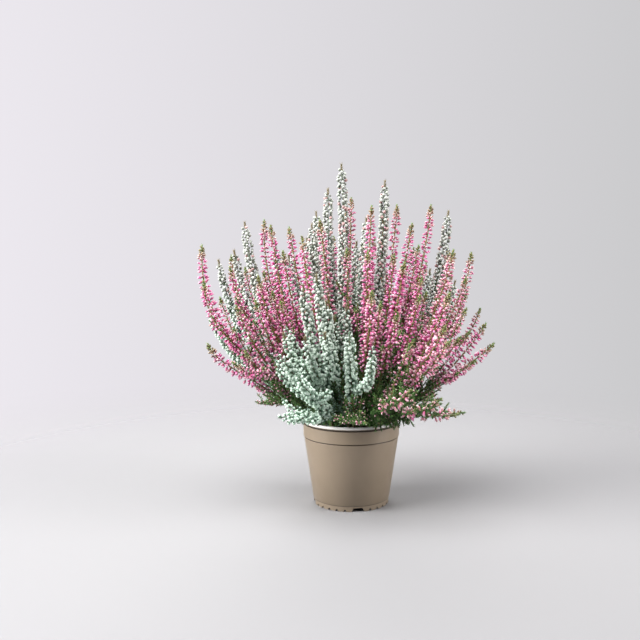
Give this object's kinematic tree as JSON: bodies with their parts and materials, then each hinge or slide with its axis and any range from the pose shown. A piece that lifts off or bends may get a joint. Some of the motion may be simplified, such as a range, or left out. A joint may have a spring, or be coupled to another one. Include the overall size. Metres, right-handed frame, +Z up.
{
  "type": "potted heather",
  "caption": "Potted heather: a dense fan of silver-leaved and pink bud-flowering shoots in moist peat, in a round tapered nursery pot with a notched foot skirt",
  "frame": {"origin": "centre of the pot's foot circle, on the surface that the pot stands on", "axes": "+Z up along the pot's axis, -Y towards the front of the plant, +X to the right seen from the front"},
  "size_m": [0.3205, 0.2858, 0.3791],
  "materials": {
    "taupe_plastic": "satin",
    "peat": "matte",
    "silver_foliage": "matte",
    "pink_buds": "matte",
    "green_foliage": "matte"
  },
  "bodies": {
    "root": {"green_sprig_01": "green_foliage", "green_sprig_02": "green_foliage", "green_sprig_03": "green_foliage", "green_sprig_04": "green_foliage", "green_sprig_05": "green_foliage", "green_sprig_06": "green_foliage", "green_sprig_07": "green_foliage", "green_sprig_08": "green_foliage", "pink_branch_01": "pink_buds", "pink_branch_02": "pink_buds", "pink_branch_03": "pink_buds", "pink_branch_04": "pink_buds", "pink_branch_05": "pink_buds", "pink_branch_06": "pink_buds", "pink_branch_07": "pink_buds", "pink_branch_08": "pink_buds", "pink_branch_09": "pink_buds", "pink_branch_10": "pink_buds", "pink_branch_11": "pink_buds", "pink_branch_12": "pink_buds", "pink_branch_13": "pink_buds", "pink_branch_14": "pink_buds", "pink_branch_15": "pink_buds", "pink_branch_16": "pink_buds", "pink_branch_17": "pink_buds", "pink_branch_18": "pink_buds", "pink_branch_19": "pink_buds", "pink_branch_20": "pink_buds", "pink_branch_21": "pink_buds", "pink_branch_22": "pink_buds", "pink_branch_23": "pink_buds", "pink_branch_24": "pink_buds", "pink_branch_25": "pink_buds", "pink_branch_26": "pink_buds", "pink_branch_27": "pink_buds", "pink_branch_28": "pink_buds", "pink_branch_29": "pink_buds", "pink_branch_30": "pink_buds", "pink_branch_31": "pink_buds", "pot": "taupe_plastic", "potting_soil": "peat", "silver_branch_01": "silver_foliage", "silver_branch_02": "silver_foliage", "silver_branch_03": "silver_foliage", "silver_branch_04": "silver_foliage", "silver_branch_05": "silver_foliage", "silver_branch_06": "silver_foliage", "silver_branch_07": "silver_foliage", "silver_branch_08": "silver_foliage", "silver_branch_09": "silver_foliage", "silver_branch_10": "silver_foliage", "silver_branch_11": "silver_foliage", "silver_branch_12": "silver_foliage", "silver_branch_13": "silver_foliage", "silver_branch_14": "silver_foliage", "silver_branch_15": "silver_foliage", "silver_branch_16": "silver_foliage", "silver_branch_17": "silver_foliage", "silver_branch_18": "silver_foliage", "silver_branch_19": "silver_foliage"}
  },
  "joints": []
}
